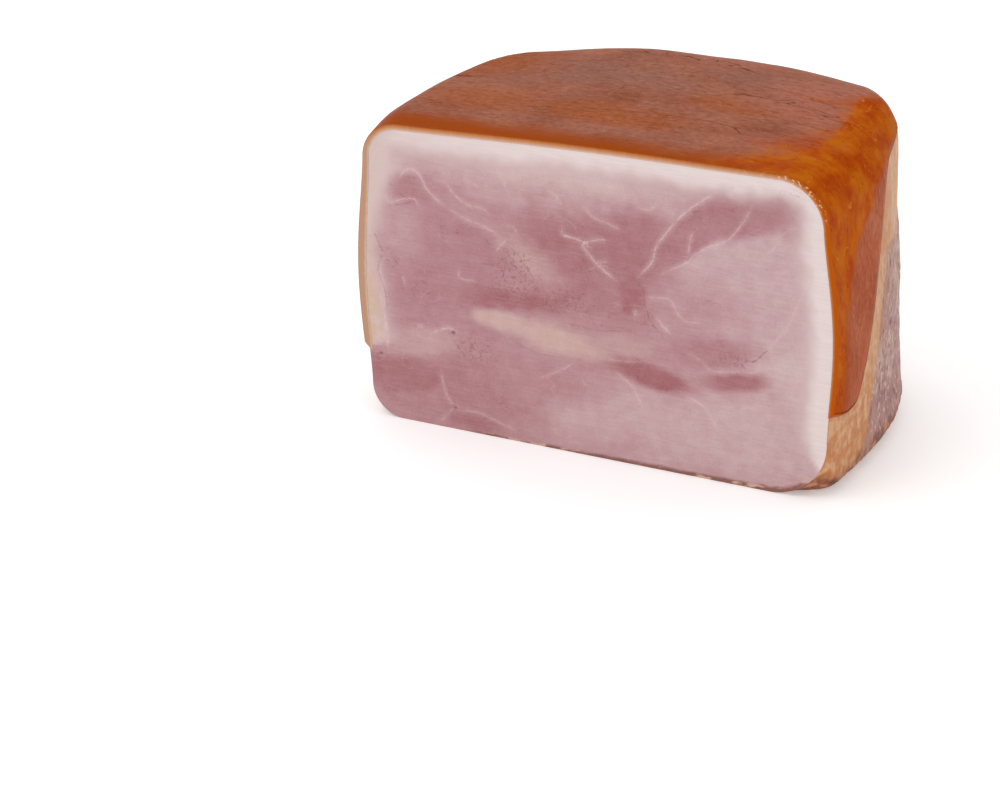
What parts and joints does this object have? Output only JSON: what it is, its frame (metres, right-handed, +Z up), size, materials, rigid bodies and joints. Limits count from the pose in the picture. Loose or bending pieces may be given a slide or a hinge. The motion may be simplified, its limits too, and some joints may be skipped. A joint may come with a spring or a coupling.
{
  "type": "cooked ham block",
  "caption": "Half block of cooked, smoked pressed ham resting on its base: cut face to the front, brown rind and white fat over the top and both sides, rounded natural end behind.",
  "frame": {"origin": "centre of the bounding box on the plane the block rests on", "axes": "+Z up, +X to the right along the cut face, the cut face looks toward -Y"},
  "size_m": [0.2268, 0.1408, 0.1494],
  "materials": {
    "lean_meat": "moist, softly mottled pink cut meat",
    "fat_and_rind": "white fat under smooth brown smoked rind with a low sheen"
  },
  "bodies": {
    "root": {"lean": "lean_meat", "fat_cap": "fat_and_rind"}
  },
  "joints": []
}
